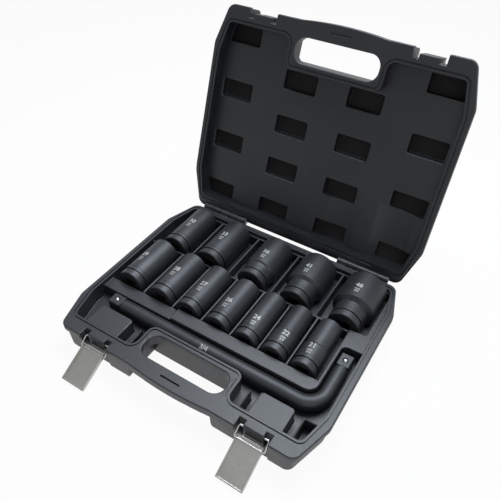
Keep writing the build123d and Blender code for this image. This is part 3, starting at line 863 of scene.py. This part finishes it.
def rounded_copy(node_name, width, segments=2):
    """Replace a node by its own shape with rounded edges."""
    mesh, chains, planes = prepared(node_name, width)
    finish = finishes[slot_of[node_name]]
    mesh.materials.append(finish)
    mesh.materials.append(finish)
    piece = add_object(node_name + "_rounded", mesh)
    bevel = piece.modifiers.new("rounding", "BEVEL")
    bevel.limit_method = "WEIGHT"
    bevel.offset_type = "OFFSET"
    bevel.width = width
    bevel.segments = segments
    bevel.use_clamp_overlap = False
    bevel.loop_slide = False
    bevel.material = 1
    for attempt in range(TRIES):
        work, faults = refilled(baked(piece), planes)
        last = attempt == TRIES - 1
        factor = 0.5 if attempt < HALVINGS else 0
        if not faults or last or not eased(mesh, chains, faults, FAULT_NEAR * width, factor):
            break
        work.free()
        mesh.update()
    piece.modifiers.clear()
    for edge in work.edges:
        on_rounding = all(face.material_index == 1 for face in edge.link_faces)
        edge.smooth = on_rounding or edge.calc_face_angle(0.0) < SHARP_TURN
    for face in work.faces:
        face.smooth = True
        face.material_index = 0
    work.to_mesh(mesh)
    work.free()
    even = piece.modifiers.new("flat_faces", "WEIGHTED_NORMAL")
    even.keep_sharp = True
    piece.data = baked(piece)
    piece.modifiers.clear()
    piece.data.materials.pop(index=1)
    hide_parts(node_name)
    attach(piece, body_of[node_name])
    print(node_name, "rounded in", attempt + 1, "tries,", len(faults), "faults left,",
          len(piece.data.polygons), "faces")
    return piece


# %% Round the shells, the steel and the sheet metal
ROUND_WIDTH = {"case_base": 1.4 * MM, "case_lid": 1.4 * MM, "socket_steel": 0.4 * MM,
               "handle_steel": 0.4 * MM, "latch_steel": 0.25 * MM}
rounded = {}
for node_name in nodes:
    width = ROUND_WIDTH.get(slot_of[node_name])
    if width:
        rounded[node_name] = rounded_copy(node_name, width)
print("rounded", len(rounded), "nodes")

# %% [markdown]
# ## Coil springs
# A small coil spring sits in the bore of each drive square and pushes the detent ball out. Here it is
# wound as wire: a ring of points is carried round and up, with closer turns at both ends, as on a real
# spring. The spring shortens when its ball is pressed; here it is wound at one height, taller than its
# sleeve by as much as the ball sinks.

# %% Springs under the detent balls
WIRE_RADIUS = 0.45 * MM
SPRING_TURNS = 6
END_TURN_RISE = 1.0 * MM
BALL_SINKS = 0.7 * MM
TURN_STEPS = 24
WIRE_SIDES = 8


def wound_wire(name, foot, coil_radius, height):
    """Mesh of a wire that is wound upwards from a foot, with closed ends."""
    turns = [0.0, 1.0, SPRING_TURNS - 1.0, SPRING_TURNS]
    first, last = WIRE_RADIUS, height - WIRE_RADIUS
    rises = [first, first + END_TURN_RISE, last - END_TURN_RISE, last]
    angles = [math.tau * side / WIRE_SIDES for side in range(WIRE_SIDES)]
    up = Vector((0.0, 0.0, 1.0))
    work = bmesh.new()
    rings = []
    for step in range(SPRING_TURNS * TURN_STEPS + 1):
        turn = step / TURN_STEPS
        out = Vector((math.cos(math.tau * turn), math.sin(math.tau * turn), 0.0))
        middle = foot + coil_radius * out + float(np.interp(turn, turns, rises)) * up
        ring = [middle + WIRE_RADIUS * (math.cos(angle) * out + math.sin(angle) * up) for angle in angles]
        rings.append([work.verts.new(point) for point in ring])
    for lower, upper in zip(rings, rings[1:]):
        for side in range(WIRE_SIDES):
            face = work.faces.new((lower[side - 1], lower[side], upper[side], upper[side - 1]))
            face.smooth = True
    for ring in (rings[0], rings[-1]):
        work.faces.new(ring)
        for side in range(WIRE_SIDES):
            work.edges.get((ring[side - 1], ring[side])).smooth = False
    bmesh.ops.recalc_face_normals(work, faces=work.faces)
    mesh = bpy.data.meshes.new(name)
    work.to_mesh(mesh)
    work.free()
    return mesh


def coil_spring(end):
    """Spring of one drive square, in place of its sleeve."""
    node_name = "detent_spring_" + end
    low, high = (Vector(corner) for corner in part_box(node_name))
    foot = Vector(((low.x + high.x) / 2, (low.y + high.y) / 2, low.z))
    height = high.z + BALL_SINKS - low.z
    mesh = wound_wire(node_name + "_coil", foot, (high.x - low.x) / 2 - WIRE_RADIUS, height)
    mesh.materials.append(finishes[slot_of[node_name]])
    piece = add_object(node_name + "_coil", mesh)
    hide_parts(node_name)
    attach(piece, body_of[node_name])
    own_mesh(piece)
    print(node_name, "wound,", round(height / MM, 2), "mm high,", len(mesh.polygons), "faces")
    return piece


for end in ("long", "short"):
    coil_spring(end)

# %% [markdown]
# ## Size marks
# Each socket carries its size and the bar its drive size, etched through the black coat with a laser, so a
# mark is pale and dull and lies almost flush. Text objects give clean outlines and a little thickness. The
# letters are cut into narrow strips and bent round the steel: what runs across the axis becomes an angle,
# and the rest stays along it. A mark stands three hundredths of a millimetre proud, enough to be drawn and
# too little to be seen from the side.

# %% Etched steel
MARK_DARK = (0.34, 0.34, 0.33)
MARK_LIGHT = (0.58, 0.58, 0.57)


def etched_steel():
    """Pale dull speckle where a laser has burnt the coat away."""
    material, tree, output = new_material("etched_mark")
    shader = tree.nodes.new("ShaderNodeBsdfPrincipled")
    shader.inputs["Metallic"].default_value = 0.3
    grain = place_group(tree, GRAIN, Scale=1500.0)
    colour = ramp(tree, grain.outputs["Height"], MARK_DARK, MARK_LIGHT, start=0.35, stop=0.6)
    rough = spread(tree, grain.outputs["Height"], 0.55, 0.75, start=0.3, stop=0.7)
    tree.links.new(colour, shader.inputs["Base Color"])
    tree.links.new(rough, shader.inputs["Roughness"])
    tree.links.new(shader.outputs["BSDF"], output.inputs["Surface"])
    return material


ETCHED = etched_steel()
print("finish of the marks", ETCHED.name)

# %% Letters that can bend
MARK_LIFT = 0.03 * MM
BOLDER = 0.025
STRIP = 1.2 * MM


def word_blocks(name, lines, across):
    """Thin solid letters in centred lines of some height and rise, cut into strips across one direction."""
    work = bmesh.new()
    for words, height, rise in lines:
        curve = bpy.data.curves.new(name, "FONT")
        curve.body = words
        curve.size = height
        curve.align_x = "CENTER"
        curve.align_y = "CENTER"
        curve.offset = BOLDER * height
        curve.extrude = MARK_LIFT
        writer = add_object(name, curve)
        writer.location.y = rise
        bpy.context.view_layer.update()
        glyphs = baked(writer)
        glyphs.transform(writer.matrix_world)
        work.from_mesh(glyphs)
        bpy.data.objects.remove(writer)
        bpy.data.meshes.remove(glyphs)
    bmesh.ops.remove_doubles(work, verts=work.verts, dist=MERGE_CUT)
    reach = max(abs(point.co.dot(across)) for point in work.verts)
    for step in range(-int(reach / STRIP), int(reach / STRIP) + 1):
        everything = work.verts[:] + work.edges[:] + work.faces[:]
        bmesh.ops.bisect_plane(work, geom=everything, plane_co=step * STRIP * across, plane_no=across)
    return work


def mark_piece(name, work, bend, body):
    """Object from letters whose points are moved by a bend."""
    for point in work.verts:
        point.co = bend(point.co)
    bmesh.ops.recalc_face_normals(work, faces=work.faces)
    mesh = bpy.data.meshes.new(name)
    work.to_mesh(mesh)
    work.free()
    mesh.materials.append(ETCHED)
    piece = add_object(name, mesh)
    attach(piece, body)
    return piece


print("letters are cut every", round(STRIP / MM, 1), "mm")

# %% Numbers on the sockets
# Size: radius under the mark, distance of the number from the drive end, turn from the top.
SOCKET_MARKS = {
    29: (22.5, 48.5, -21), 28: (22.0, 48.5, -11), 27: (21.0, 45.5, -5), 26: (20.25, 40.0, -10),
    24: (19.0, 34.5, -1), 22: (19.0, 32.5, 9), 21: (19.0, 33.5, -9), 30: (22.75, 52.5, -3),
    33: (24.75, 52.5, -7), 36: (26.75, 51.0, -5), 41: (30.0, 56.5, -9), 46: (32.5, 58.0, -7),
}
NUMBER_HEIGHT = 11.0 * MM
SMALL_HEIGHT = 5.2 * MM
UNIT_DROP = 8.2 * MM
DRIVE_DROP = 13.2 * MM
DRIVE_SIZE = "3/4"


def socket_mark(size, radius, distance, turn):
    """Size, unit and drive size etched on one socket."""
    node_name = "socket_" + str(size)
    low, high = (Vector(corner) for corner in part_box(node_name))
    axis_x, axis_z = (low.x + high.x) / 2, (low.z + high.z) / 2
    lines = [(str(size), NUMBER_HEIGHT, 0.0), ("mm", SMALL_HEIGHT, -UNIT_DROP),
             (DRIVE_SIZE, SMALL_HEIGHT, -DRIVE_DROP)]
    reach = radius * MM

    def bend(spot):
        angle = spot.x / reach + math.radians(turn)
        out = Vector((math.sin(angle), 0.0, math.cos(angle)))
        return Vector((axis_x, low.y + distance * MM + spot.y, axis_z)) + (reach + spot.z) * out

    letters = word_blocks(node_name + "_words", lines, Vector((1.0, 0.0, 0.0)))
    return mark_piece(node_name + "_mark", letters, bend, node_name)


for size, (radius, distance, turn) in SOCKET_MARKS.items():
    socket_mark(size, radius, distance, turn)
print("marks on", len(SOCKET_MARKS), "sockets")

# %% Drive size on the bar
BAR_RADIUS = 11.0 * MM
BAR_MARK_X = 4.0 * MM
BAR_MARK_HEIGHT = 10.0 * MM
BAR_MARK_TURN = math.radians(24.0)


def bar_mark():
    """Drive size etched along the handle's long bar, on the side that faces the grip."""
    low = Vector(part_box("l_handle")[0])
    axis_y, axis_z = low.y + BAR_RADIUS, low.z + BAR_RADIUS

    def bend(spot):
        angle = BAR_MARK_TURN - spot.y / BAR_RADIUS
        out = Vector((0.0, -math.sin(angle), math.cos(angle)))
        return Vector((BAR_MARK_X + spot.x, axis_y, axis_z)) + (BAR_RADIUS + spot.z) * out

    letters = word_blocks("bar_words", [(DRIVE_SIZE, BAR_MARK_HEIGHT, 0.0)], Vector((0.0, 1.0, 0.0)))
    return mark_piece("bar_mark", letters, bend, "handle")


print("mark on the bar", bar_mark().name)
